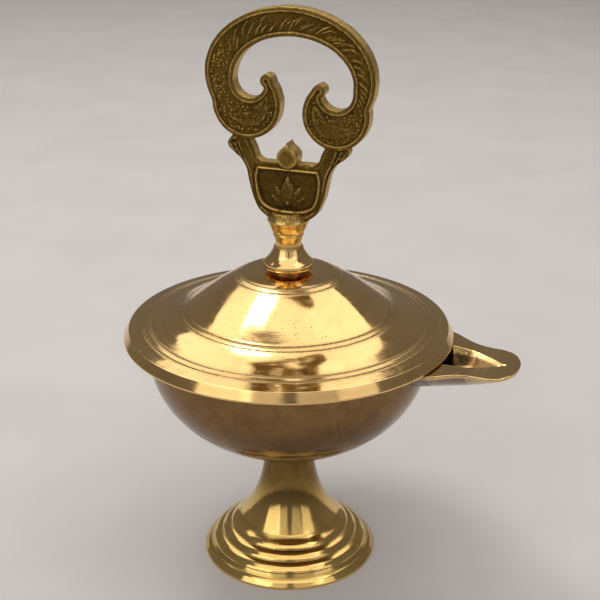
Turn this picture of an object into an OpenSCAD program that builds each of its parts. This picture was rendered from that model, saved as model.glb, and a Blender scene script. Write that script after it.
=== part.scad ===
// Covered brass oil lamp: a wick-spout bowl on a turned, flared foot, with a domed lift-off lid
// and a cast scroll-ring finial. Millimetres, +Z up. The origin is the centre of the foot's
// base, on the table. +X points along the wick spout, and the finial's plate lies in the XZ plane.

/* [Bowl] */
// Outer radius of the bowl at its rim
bowl_r = 39; // [37:0.5:40.5]
// Height of the bowl's rim above the table, where the lid rests
rim_z = 68.4; // [66:0.2:72]
// Height at which the bowl's flat bottom sits on the foot
seat_z = 34.6; // [33.6:0.2:35.6]
// Thickness of the bowl's wall
bowl_wall = 1.8; // [1.4:0.1:2.4]
// Radius of the blind boss inside the bowl that takes the foot stud
boss_r = 5.6; // [5:0.2:7]

/* [Spout] */
// Distance from the lamp's axis to the tip of the spout
spout_tip_x = 64.7; // [62:0.1:68]
// Half width of the spout's leaf-shaped lip at its widest bulge
spout_half_w = 10; // [8.5:0.5:11.5]
// How far the spout's lip lies below the bowl's rim
spout_drop = 0.3; // [0.2:0.1:1]

/* [Foot] */
// Radius of the foot's base
foot_r = 24.9; // [23.5:0.1:27]
// Radius of the foot's neck, under the bowl
neck_r = 7.2; // [6.8:0.1:8]
// Radius of the concave sweep from neck to base
sweep_r = 32.8; // [31:0.2:35]
// Thickness of the foot's shell
foot_wall = 2; // [1.5:0.1:2.4]
// Number of turned steps above the base
foot_steps = 3; // [1:1:3]

/* [Lid] */
// Radius of the lid's rim
lid_r = 45.5; // [44.5:0.5:47]
// Height of the lid's flat crown above its underside
crown_h = 18.2; // [17:0.2:20]
// Thickness of the lid's dome
lid_wall = 1.9; // [1.5:0.1:2.2]
// Play between the lid's locating ring and the inside of the bowl
lid_play = 0.4; // [0.2:0.1:0.8]

/* [Finial] */
// Thickness of the cast finial plate
plate_t = 4.5; // [3.5:0.1:5.5]
// Half width of the scroll ring
ring_a = 23.2; // [21:0.2:25]
// Half height of the scroll ring
ring_b = 17.8; // [17:0.2:19]
// Radius of the hollow under each curled tip of the scroll
curl_r = 4.4; // [3.8:0.1:4.6]

/* [Fasteners] */
// Radius of the foot's clamping stud
stud_r = 2.5; // [2:0.1:2.6]
// Radius of the finial's threaded tail
tail_r = 2; // [1.6:0.1:2.1]
// Radial gap between a thread and its nut
thread_gap = 0.02; // [0.01:0.01:0.05]

/* [Hidden] */
$fn = 96;

brass = [0.86, 0.68, 0.34];
dark_brass = [0.66, 0.52, 0.24];
steel = [0.72, 0.70, 0.64];

// foot
sweep_z = 31;                                   // height of the sweep's centre
sweep_cx = neck_r + sweep_r;                    // distance of the sweep's centre from the axis
sweep_end = 38.5;                               // angle at which the sweep meets the steps
step_w = 2.6;                                   // radial width of one step
step_h = 2.2;                                   // rise of one step, its riser included
riser_h = 0.25;                                 // height of the riser at each step's edge
edge_z = 3.8;                                   // height of the lowest step's edge
ceiling_z = 18;                                 // top of the hollow inside the foot

// bowl: the outside is a vertical rim over half an ellipse
belly_z = 64;                                   // height of the ellipse's centre
belly_b = 30;                                   // its half height
boss_top = 44;
blind_top = 42;                                 // end of the blind hole for the foot stud

// spout
lip_z = rim_z - spout_drop;
channel_end = spout_tip_x - 4.2;                // where the wick channel runs out

// lid
crown_z = rim_z + crown_h;
ring_r = bowl_r - bowl_wall - lid_play;         // outside of the lid's locating ring
ring_h = 4;                                     // depth of the locating ring
groove_pairs = [[40.05, 72], [38.3, 72.5], [29.3, 75.4], [28.2, 76.15], [14.5, 85.25], [13.2, 85.85]];

// collar and finial
collar_h = 7.2;
joint_z = crown_z + collar_h;                   // where the finial's neck sits on the collar
ring_c = [0.8, joint_z + 45.9];                 // centre of the scroll ring, in the plate
lobe_l = [-11, joint_z + 38.4];                 // centres of the scroll's leaf ends
lobe_r = [13.5, joint_z + 36.8];
lobe_rl = 9.5;                                  // their radii
lobe_rr = 9;
curl_z = 5.8;                                   // height of each hollow over its leaf's centre

// fasteners
washer_h = 1;
nut_h = 4;
lid_washer_h = 0.7;
lid_nut_h = 3.2;
face_gap = 0.03;                                // play on each face of the lid washer
under_z = crown_z - lid_wall;                   // underside of the lid's crown

// Points of an elliptical arc from angle a0 to a1, in degrees from +X
function arc(c, a, b, a0, a1, n) =
    [for (i = [0:n]) let (t = a0 + (a1 - a0) * i / n) [c[0] + a * cos(t), c[1] + b * sin(t)]];

// One point of a smooth curve through p, at fraction t of the stretch from p[i] to p[i + 1]
function through(p, i, t) =
    let (n = len(p) - 1, a = p[max(i - 1, 0)], b = p[i], c = p[i + 1], d = p[min(i + 2, n)])
    0.5 * (2 * b + (c - a) * t + (2 * a - 5 * b + 4 * c - d) * t * t
           + (3 * b - a - 3 * c + d) * t * t * t);

// A smooth curve through all of p, with n steps in each stretch
function smooth(p, n) =
    concat([for (i = [0:len(p) - 2], k = [0:n - 1]) through(p, i, k / n)], [p[len(p) - 1]]);

// A hexagonal nut of height h across-flats w, with its lower face at z
module hex_nut(z, h, across, bore_r) {
    translate([0, 0, z])
    difference() {
        intersection() {
            cylinder(h = h, r = across / sqrt(3), $fn = 6);
            rotate_extrude()
                polygon([[0, 0], [across / 2 - 0.2, 0], [across / sqrt(3), 0.6],
                         [across / sqrt(3), h - 0.6], [across / 2 - 0.2, h], [0, h]]);
        }
        translate([0, 0, -1]) cylinder(h = h + 2, r = bore_r);
    }
}

module washer(z, h, r, bore_r) {
    translate([0, 0, z])
    difference() {
        cylinder(h = h, r = r);
        translate([0, 0, -1]) cylinder(h = h + 2, r = bore_r);
    }
}

// Turned foot: a concave sweep from the neck down to the rolled steps and the skirt
module foot() {
    edge_r = [for (i = [0:foot_steps - 1]) foot_r - step_w * (i + 1)];
    rolled = [[0.1, -riser_h], [0, 0], [-0.25, 0.42], [-1.25, 1.34], [-2, 1.75]];
    steps = [for (i = [0:foot_steps - 1], k = [0:i < foot_steps - 1 ? 4 : 2])
             [edge_r[i] + rolled[k][0], edge_z + step_h * i + rolled[k][1]]];
    outside = concat([[foot_r, 0], [foot_r, 0.7], [foot_r - 0.35, 1.1], [foot_r - 1, 1.9],
                      [foot_r - 1.75, 2.5]], steps,
                     [for (i = [0:24]) let (t = sweep_end * (1 - i / 24))
                      [sweep_cx - sweep_r * cos(t), sweep_z - sweep_r * sin(t)]],
                     [[neck_r, seat_z], [0, seat_z]]);
    in_r = sweep_r + foot_wall;
    top_t = asin((sweep_z - ceiling_z) / in_r);
    inside = concat([[foot_r - 2, -1], [foot_r - 2, 0], [foot_r - 4.4, 2.2]],
                    [for (i = [0:14]) let (t = sweep_end + (top_t - sweep_end) * i / 14)
                     [sweep_cx - in_r * cos(t), sweep_z - in_r * sin(t)]],
                    [[0, ceiling_z], [0, -1]]);
    color(brass)
    difference() {
        rotate_extrude() polygon(concat(outside, [[0, 0]]));
        rotate_extrude() polygon(inside);
        translate([0, 0, ceiling_z - 1]) cylinder(h = seat_z, r = stud_r + 0.2);
    }
}

// Threaded stud that clamps the foot to the bowl's blind boss
module foot_stud() {
    low = ceiling_z - washer_h - nut_h - 1.5;
    color(brass)
    rotate_extrude()
        polygon([[0, low], [stud_r - 0.5, low], [stud_r, low + 0.5], [stud_r, blind_top - 1],
                 [stud_r - 0.5, blind_top - 0.5], [0, blind_top - 0.5]]);
}

module foot_washer() {
    color(steel) washer(ceiling_z - washer_h, washer_h, 5.5, stud_r + 0.2);
}

module foot_nut() {
    color(brass) hex_nut(ceiling_z - washer_h - nut_h, nut_h, 8, stud_r + thread_gap);
}

// One cross-section of the spout's body: a thin flat flange over a V-shaped keel. The spout's lip
// dips a little below lip_z on its way out, by sag.
module spout_section(x, half_w, keel_z, sag) {
    flange = 1;
    top = lip_z - sag;
    translate([x, 0, 0]) rotate([90, 0, 90]) linear_extrude(0.02)
        polygon([[-half_w, top], [-half_w, top - flange], [-1.2, keel_z], [1.2, keel_z],
                 [half_w, top - flange], [half_w, top]]);
}

// One cross-section of the wick channel, open upwards: half_w is its half width at the lip
module channel_section(x, half_w, floor_w, floor_z, sag) {
    top = rim_z + 2;
    lip = lip_z - sag;
    spread = half_w + (half_w - floor_w) * (top - lip) / (lip - floor_z);
    translate([x, 0, 0]) rotate([90, 0, 90]) linear_extrude(0.02)
        polygon([[-floor_w, floor_z], [floor_w, floor_z], [spread, top], [-spread, top]]);
}

module spout_body() {
    tip = spout_tip_x;
    stations = [[34, 17.4, 57, 0], [43, 15.3, 58.9, 0], [tip - 15.7, spout_half_w + 1.7, 60.1, 0.25],
                [tip - 6.7, spout_half_w, 62, 0.8], [tip - 2.4, 7, 64.8, 0.8],
                [tip - 0.02, 1.8, 66.5, 0.7]];
    for (i = [0:len(stations) - 2])
        hull()
            for (s = [stations[i], stations[i + 1]])
                spout_section(s[0], s[1], s[2], s[3]);
}

module wick_channel() {
    end = channel_end;
    stations = [[33, 7.3, 2.2, 62.8, 0], [end - 9, 5.4, 1.3, 64, 0.45],
                [end, 0.5, 0.3, lip_z - 1.1, 0.8]];
    for (i = [0:len(stations) - 2])
        hull()
            for (s = [stations[i], stations[i + 1]])
                channel_section(s[0], s[1], s[2], s[3], s[4]);
}

// Bowl with its spout and its blind boss, in one casting
module bowl() {
    low_t = asin((belly_z - seat_z) / belly_b);
    in_a = bowl_r - bowl_wall;
    in_b = belly_b - bowl_wall;
    color(brass)
    difference() {
        union() {
            difference() {
                union() {
                    rotate_extrude()
                        polygon(concat([[0, seat_z]],
                                       arc([0, belly_z], bowl_r, belly_b, -low_t, 0, 36),
                                       [[bowl_r, rim_z], [0, rim_z]]));
                    spout_body();
                }
                rotate_extrude()
                    polygon(concat(arc([0, belly_z], in_a, in_b, -90, 0, 36),
                                   [[in_a, rim_z + 3], [0, rim_z + 3]]));
                wick_channel();
            }
            translate([0, 0, seat_z]) cylinder(h = boss_top - seat_z, r = boss_r);
        }
        translate([0, 0, seat_z - 1]) cylinder(h = blind_top - seat_z + 1, r = stud_r + thread_gap);
    }
}

// Domed lid: nearly flat crown, rounded shoulder, concave brim and a bevelled rim
module lid() {
    shoulder = [[5.2, crown_z], [9, crown_z - 0.12], [11.5, crown_z - 0.35], [13.2, crown_z - 0.72],
                [14.5, crown_z - 1.38], [17, crown_z - 2.75], [20, crown_z - 4.55],
                [24, crown_z - 7.3], [28.2, crown_z - 10.42], [29.3, crown_z - 11.15],
                [34, crown_z - 13.1], [38.3, crown_z - 14.15], [lid_r - 5.4, crown_z - 14.6],
                [lid_r - 1.45, crown_z - 15.4]];
    inner_slope = [[12.4, under_z - 0.5], [19, under_z - 4.7], [27.2, under_z - 10.3],
                   [ring_r - 3, under_z - 12.8], [ring_r - 1.6, under_z - 13.4]];
    color(brass)
    difference() {
        rotate_extrude()
            polygon(concat([[0, crown_z]],
                           smooth(shoulder, 4),
                           [[lid_r, rim_z + 0.4], [lid_r, rim_z], [ring_r, rim_z],
                            [ring_r - 0.4, rim_z - ring_h], [ring_r - 1.6, rim_z - ring_h]],
                           [for (i = [len(inner_slope) - 1:-1:0]) inner_slope[i]],
                           [[10, under_z], [0, under_z]]));
        translate([0, 0, under_z - 1]) cylinder(h = lid_wall + 2, r = tail_r + 0.1);
        for (g = groove_pairs)
            rotate_extrude()
                translate([g[0], g[1] + crown_z - 86.6])
                    rotate(-20) polygon([[0, -0.25], [0.35, 0.2], [0, 0.6], [-0.35, 0.2]]);
    }
}

// Turned collar between the lid's crown and the finial: a thick disc under a cone
module lid_collar() {
    cone = [[6.8, 2.8], [5.6, 4.1], [4.65, 5.6], [4, collar_h]];
    color(brass)
    translate([0, 0, crown_z])
    difference() {
        rotate_extrude()
            polygon(concat([[0, 0], [4.8, 0], [4.8, 0.3], [4.4, 0.6], [5.2, 0.85],
                            [6.5, 1.15], [6.8, 1.6]], smooth(cone, 4), [[0, collar_h]]));
        translate([0, 0, -1]) cylinder(h = collar_h + 2, r = tail_r + 0.1);
    }
}

// Outline of the scroll ring: an elliptical band, open at the bottom, that rolls inwards at both
// ends into a leaf with a curled-up tip
module scroll_outline() {
    inner_c = ring_c + [1, -1.2];
    inner_a = ring_a - 6.9;
    ends = [[lobe_l, lobe_rl, -1], [lobe_r, lobe_rr, 1]];
    tip_r = 1.7;                                // bud on each curled tip
    difference() {
        union() {
            difference() {
                polygon(arc(ring_c, ring_a, ring_b, 0, 357, 119));
                polygon(arc(inner_c, inner_a, ring_b - 6.2, 0, 357, 119));
                translate([lobe_l[0], lobe_l[1] - 14]) square([lobe_r[0] - lobe_l[0], 13]);
            }
            for (e = ends) translate(e[0]) circle(r = e[1]);
        }
        for (e = ends)
            translate([inner_c[0] + e[2] * (inner_a - curl_r), e[0][1] + curl_z])
                circle(r = curl_r);
        intersection() {
            polygon(arc(inner_c, inner_a, ring_b - 6.2, 0, 357, 119));
            for (e = ends)
                translate([inner_c[0] + e[2] * (inner_a - curl_r) - curl_r, e[0][1] + curl_z])
                    square([2 * curl_r, 5]);
        }
    }
    for (e = ends)
        translate([inner_c[0] + e[2] * (inner_a - 2 * curl_r - 0.4), e[0][1] + curl_z + 0.3])
            circle(r = tip_r);
}

// Right half of the plaque's outline, from the middle of its foot to the middle of its top
function plaque_half(z) =
    [[5.5, z + 7.8], [8.2, z + 10], [9.8, z + 13.4], [10.8, z + 17.2], [11.6, z + 20.7],
     [13.2, z + 23.5], [16.6, z + 26.5], [16.4, z + 28.4], [14.6, z + 30], [11.5, z + 29.6],
     [9.6, z + 26.8], [8.6, z + 24.2], [7.2, z + 23.2]];

module plaque_outline() {
    half = smooth(plaque_half(joint_z), 4);
    translate([0.4, 0])
        polygon(concat(half, [for (i = [len(half) - 1:-1:0]) [-half[i][0], half[i][1]]]));
}

// The sunk field inside the plaque's raised border
module plaque_field() {
    z = joint_z;
    half = smooth([[1, z + 9.9], [2.8, z + 10], [5, z + 10.5], [6.9, z + 11.6], [8, z + 13.6],
                   [8.6, z + 16.6], [8.7, z + 19.4], [8.2, z + 21.4]], 3);
    translate([0.4, 0])
        polygon(concat(half, [for (i = [len(half) - 1:-1:0]) [-half[i][0], half[i][1]]]));
}

// A pointed petal of half width w and height h standing on the origin
module petal(w, h) {
    polygon(concat([[0, 0]], smooth([[w * 0.55, h * 0.12], [w, h * 0.42], [w * 0.6, h * 0.75], [0, h]], 4),
                   smooth([[-w * 0.6, h * 0.75], [-w, h * 0.42], [-w * 0.55, h * 0.12]], 4)));
}

// Plain lotus-bud motif that stands in the plaque's field
module lotus_bud() {
    translate([0.4, joint_z + 11.7]) {
        petal(2, 8);
        for (side = [-1, 1]) rotate(side * 38) petal(1.5, 6.4);
    }
}

// Round bead with a short pointed tip, like a closed bud
module bead_outline() {
    bead_r = 2.9;
    circle(r = bead_r);
    polygon([[-1.7, 2.2], [0, bead_r + 1.3], [1.7, 2.2]]);
}

// Cast finial: scroll ring, plaque, bead, cup, neck and threaded tail
module finial() {
    field_depth = 0.8;
    relief_h = 0.5;
    tail_low = under_z - lid_washer_h - lid_nut_h - 1.4;
    stem = [[3.7, 0], [3.5, 0.5], [3.6, 1.3], [3.95, 2.4], [4.3, 3.3], [4.15, 3.8], [4.5, 4.3],
            [5.1, 5.5], [5.7, 7], [5.9, 7.8], [5.5, 9.2]];
    color(dark_brass) {
        rotate([90, 0, 0])
        difference() {
            union() {
                translate([0, 0, -plate_t / 2]) linear_extrude(plate_t) scroll_outline();
                translate([0, 0, -plate_t / 2]) linear_extrude(plate_t) plaque_outline();
                translate([0.4, joint_z + 24.7, -plate_t / 2 - 0.4])
                    linear_extrude(plate_t + 0.8) bead_outline();
            }
            for (side = [0, 1]) mirror([0, 0, side])
                translate([0, 0, plate_t / 2 - field_depth]) linear_extrude(2)
                    difference() {
                        plaque_field();
                        lotus_bud();
                    }
            for (side = [0, 1]) mirror([0, 0, side])
                translate([0, 0, plate_t / 2 - field_depth + relief_h]) linear_extrude(2)
                    plaque_field();
        }
        translate([0, 0, joint_z])
            rotate_extrude()
                polygon(concat([[0, 0]], smooth(stem, 3), [[4.4, 9.9], [0, 9.9]]));
        translate([0, 0, tail_low])
            cylinder(h = joint_z - tail_low + 1, r = tail_r);
    }
}

module lid_washer() {
    color(steel)
        washer(under_z - lid_washer_h + face_gap, lid_washer_h - 2 * face_gap, 4.5, tail_r + 0.05);
}

module lid_nut() {
    color(brass) hex_nut(under_z - lid_washer_h - lid_nut_h, lid_nut_h, 7, tail_r + thread_gap);
}

foot();
foot_stud();
foot_washer();
foot_nut();
bowl();
lid();
lid_collar();
finial();
lid_washer();
lid_nut();
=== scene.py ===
import math

import bmesh
import bpy
import numpy as np
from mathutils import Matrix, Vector, kdtree


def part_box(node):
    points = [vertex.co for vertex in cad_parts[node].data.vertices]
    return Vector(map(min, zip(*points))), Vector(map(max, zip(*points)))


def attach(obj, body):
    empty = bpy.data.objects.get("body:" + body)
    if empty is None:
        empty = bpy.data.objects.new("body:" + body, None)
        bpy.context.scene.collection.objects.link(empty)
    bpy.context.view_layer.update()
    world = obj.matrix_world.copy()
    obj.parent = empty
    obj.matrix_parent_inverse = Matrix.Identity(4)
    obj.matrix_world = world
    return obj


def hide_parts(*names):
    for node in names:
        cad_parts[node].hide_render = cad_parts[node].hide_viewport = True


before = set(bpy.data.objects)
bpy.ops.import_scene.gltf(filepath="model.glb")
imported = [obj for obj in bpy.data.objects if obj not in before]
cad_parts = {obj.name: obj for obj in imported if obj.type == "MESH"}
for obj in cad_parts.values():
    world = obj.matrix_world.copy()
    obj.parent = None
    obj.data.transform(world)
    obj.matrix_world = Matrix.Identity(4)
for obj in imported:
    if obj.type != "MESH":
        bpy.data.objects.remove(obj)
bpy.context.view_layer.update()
MM = 0.001
rng = np.random.default_rng(11)


def top_of(node):
    """Height of a CAD node's top, in millimetres."""
    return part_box(node)[1].z / MM


def bottom_of(node):
    """Height of a CAD node's underside, in millimetres."""
    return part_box(node)[0].z / MM


SEAT = bottom_of("bowl")  # the bowl sits on the foot here
RIM = top_of("bowl")  # the lid rests here
CROWN = top_of("lid")
JOINT = top_of("lid_collar")  # the finial stands here
SPOUT_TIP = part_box("bowl")[1].x / MM
LID_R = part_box("lid")[1].x / MM
FOOT_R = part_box("foot")[1].x / MM


# ---------------------------------------------------------------- mesh helpers


def put_mesh(name, verts, faces, attributes=None, sharp=38.0):
    """A smooth-shaded mesh object from points in millimetres."""
    mesh = bpy.data.meshes.new(name)
    mesh.from_pydata((np.asarray(verts, float) * MM).tolist(), [], faces)
    for key, values in (attributes or {}).items():
        layer = mesh.attributes.new(key, "FLOAT", "POINT")
        layer.data.foreach_set("value", np.asarray(values, np.float32))
    bm = bmesh.new()
    bm.from_mesh(mesh)
    bmesh.ops.recalc_face_normals(bm, faces=bm.faces)
    bm.to_mesh(mesh)
    bm.free()
    mesh.polygons.foreach_set("use_smooth", [True] * len(mesh.polygons))
    mesh.set_sharp_from_angle(angle=math.radians(sharp))
    obj = bpy.data.objects.new(name, mesh)
    bpy.context.scene.collection.objects.link(obj)
    return obj


def rounded(points, steps=4):
    """Corners given as (r, z, radius) become short arcs; plain (r, z) points stay."""
    out = []
    n = len(points)
    for i, p in enumerate(points):
        b = np.array(p[:2], float)
        if len(p) < 3:
            out.append(b)
            continue
        a = np.array(points[i - 1][:2], float)
        c = np.array(points[(i + 1) % n][:2], float)
        u, v = a - b, c - b
        lu, lv = np.linalg.norm(u), np.linalg.norm(v)
        u, v = u / lu, v / lv
        half = math.acos(float(np.clip(u @ v, -1, 1))) / 2
        cut = min(p[2] / math.tan(half), 0.45 * lu, 0.45 * lv)
        middle = b + (u + v) / np.linalg.norm(u + v) * cut / math.cos(half)
        s, e = b + u * cut - middle, b + v * cut - middle
        angle = math.pi - 2 * half
        for k in range(steps + 1):
            t = k / steps
            arm = math.sin((1 - t) * angle) * s + math.sin(t * angle) * e
            out.append(middle + arm / math.sin(angle))
    return out


def smooth(points, step=0.6):
    """A smooth curve through all the points, about one point every step."""
    p = [np.array(q, float) for q in points]
    out = []
    for i in range(len(p) - 1):
        a, b, c, d = p[max(i - 1, 0)], p[i], p[i + 1], p[min(i + 2, len(p) - 1)]
        n = max(1, round(float(np.linalg.norm(c - b)) / step))
        for k in range(n):
            t = k / n
            bend = (2 * a - 5 * b + 4 * c - d) * t**2 + (3 * b - a - 3 * c + d) * t**3
            out.append(0.5 * (2 * b + (c - a) * t + bend))
    out.append(p[-1])
    return out


def lifted(points, z):
    """The same points, counted from the height z."""
    return [(r, h + z, *radius) for r, h, *radius in points]


# half of a turned groove, from its middle outwards: share of the width, share of the depth
GROOVE = [(0.15, -0.9), (0.42, -0.25), (0.62, 0.1), (0.9, 0.06), (1.3, 0)]


def grooved(points, cuts):
    """Turns V grooves into a curve. Each cut is the radius at which it lies, its width and its depth."""
    p = np.array(points, float)
    s = np.concatenate([[0], np.cumsum(np.linalg.norm(np.diff(p, axis=0), axis=1))])
    shape = [(-k, h) for k, h in GROOVE[::-1]] + GROOVE
    way = 1 if p[0, 0] < p[-1, 0] else -1

    def place(at):
        """The point at a length along the curve."""
        return np.array([np.interp(at, s, p[:, 0]), np.interp(at, s, p[:, 1])])

    rows = [(q, 0.0) for q in s]
    for radius, width, depth in cuts:
        at = float(np.interp(radius, p[::way, 0], s[::way]))
        rows = [r for r in rows if abs(r[0] - at) > width * 0.75]
        rows += [(at + k * width / 2, h * depth) for k, h in shape]
    out = []
    for at, height in sorted(rows):
        t = place(at + 0.1) - place(at - 0.1)
        t /= max(np.linalg.norm(t), 1e-9)
        normal = np.array([-t[1], t[0]])
        normal *= 1 if normal[1] + 0.3 * normal[0] > 0 else -1
        out.append(place(at) + normal * height)
    return out


def dense(points, closed, step=1.3):
    """Splits the long stretches of a profile."""
    p = [np.array(q, float) for q in points]
    out = []
    for i in range(len(p) if closed else len(p) - 1):
        a, b = p[i], p[(i + 1) % len(p)]
        n = max(1, math.ceil(float(np.linalg.norm(b - a)) / step))
        out += [a + (b - a) * k / n for k in range(n)]
    if not closed:
        out.append(p[-1])
    return out


def wear_of(profile, closed):
    """How sharply each profile point turns outwards (edge) and inwards (crevice), from 0 to 1."""
    p = np.array(profile)
    n = len(p)
    ahead, behind = np.roll(p, -1, 0) - p, p - np.roll(p, 1, 0)
    if not closed:
        ahead[-1], behind[0] = behind[-1], ahead[0]
    la, lb = np.linalg.norm(ahead, axis=1) + 1e-9, np.linalg.norm(behind, axis=1) + 1e-9
    cross = (behind[:, 0] * ahead[:, 1] - behind[:, 1] * ahead[:, 0]) / la / lb
    area = np.sum(p[:, 0] * np.roll(p[:, 1], -1) - np.roll(p[:, 0], -1) * p[:, 1])
    turn = np.arcsin(np.clip(cross, -1, 1)) * np.sign(area)
    s = np.concatenate([[0], np.cumsum(la[:-1])])
    edge, crevice = np.zeros(n), np.zeros(n)
    for i in np.nonzero(np.abs(turn) > 0.12)[0]:
        reach = 0.16 if turn[i] > 0 else 0.4
        spread = np.exp(-((s - s[i]) ** 2) / (2 * reach**2)) * min(1.0, abs(turn[i]) * 1.5)
        if turn[i] > 0:
            edge = np.maximum(edge, spread)
        else:
            crevice = np.maximum(crevice, spread)
    return edge, crevice


def circle(segs):
    """Evenly spaced angles round a full turn."""
    return np.linspace(0, 2 * math.pi, segs, endpoint=False)


def joined(rings, count, closed=False):
    """Faces between each ring of count points and the next one."""
    faces = []
    for i in range(rings if closed else rings - 1):
        j = (i + 1) % rings
        for k in range(count):
            m = (k + 1) % count
            faces.append((i * count + k, i * count + m, j * count + m, j * count + k))
    return faces


def end_caps(rings, count):
    """Flat faces over the first and the last ring."""
    return [tuple(range(count)), tuple(range((rings - 1) * count, rings * count))]


def tube(rings):
    """Points and side faces of a solid through equal rings of points."""
    return [point for ring in rings for point in ring], joined(len(rings), len(rings[0]))


def revolve(profile, segs=256, closed=False):
    """Points, faces and wear of a profile turned round Z. An open one starts and ends on the axis."""
    profile = dense(profile, closed)
    edge, crevice = wear_of(profile, closed)
    verts, faces, rings, edges, crevices = [], [], [], [], []
    turn = circle(segs)
    for (r, z), e, c in zip(profile, edge, crevice):
        if r < 1e-6:
            rings.append([len(verts)])
            verts.append((0, 0, z))
            edges.append(e)
            crevices.append(c)
        else:
            rings.append(list(range(len(verts), len(verts) + segs)))
            verts += list(zip(r * np.cos(turn), r * np.sin(turn), [z] * segs))
            edges += [e] * segs
            crevices += [c] * segs
    pairs = list(zip(rings, rings[1:])) + ([(rings[-1], rings[0])] if closed else [])
    for a, b in pairs:
        for k in range(segs):
            m = (k + 1) % segs
            if len(a) == 1 and len(b) == 1:
                break
            if len(a) == 1:
                faces.append((a[0], b[m], b[k]))
            elif len(b) == 1:
                faces.append((a[k], a[m], b[0]))
            else:
                faces.append((a[k], a[m], b[m], b[k]))
    return verts, faces, {"edge": edges, "crevice": crevices}


def lathe(name, profile, segs=256, closed=False, grime=()):
    """A turned piece. Each grime line is a height, the spread round it and its darkness."""
    verts, faces, wear = revolve(profile, segs, closed)
    heights = np.array(verts)[:, 2]
    for z, spread, amount in grime:
        line = amount * np.exp(-(((heights - z) / spread) ** 2))
        wear["crevice"] = np.maximum(wear["crevice"], line)
    return put_mesh(name, verts, faces, wear)


def merged(parts):
    """One vertex list, face list and attribute table from several."""
    verts, faces, attributes = [], [], {}
    keys = {k for p in parts for k in p[2]}
    for v, f, a in parts:
        at = len(verts)
        verts += [tuple(q) for q in v]
        faces += [tuple(i + at for i in face) for face in f]
        for k in keys:
            attributes.setdefault(k, []).extend(list(a.get(k, np.zeros(len(v)))))
    return verts, faces, attributes


def even_shading(obj):
    """Lets the large faces set the shading, so that flats stay flat beside small rounded edges."""
    m = obj.modifiers.new("shading", "WEIGHTED_NORMAL")
    m.keep_sharp = True
    m.weight = 60


def apply_modifiers(obj):
    """Puts the result of an object's modifiers in place of its mesh."""
    depsgraph = bpy.context.evaluated_depsgraph_get()
    mesh = bpy.data.meshes.new_from_object(obj.evaluated_get(depsgraph))
    obj.modifiers.clear()
    old, obj.data = obj.data, mesh
    bpy.data.meshes.remove(old)


def combine(obj, other, how):
    """Boolean of two closed meshes; the other one is used up."""
    m = obj.modifiers.new("cut", "BOOLEAN")
    m.operation = how
    m.solver = "EXACT"
    m.object = other
    apply_modifiers(obj)
    bpy.data.objects.remove(other)


def finish_piece(obj, body, node, material):
    """Gives a piece its material, the body it rides on and the CAD node that it stands for."""
    obj.data.materials.clear()
    obj.data.materials.append(material)
    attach(obj, body)
    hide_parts(node)


def turned_piece(name, profile, body, node, material, segs=256, grime=()):
    """A finished piece of polished brass from a closed profile."""
    obj = lathe(name, profile, segs, closed=True, grime=grime)
    even_shading(obj)
    finish_piece(obj, body, node, material)


# ---------------------------------------------------------------- materials


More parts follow.
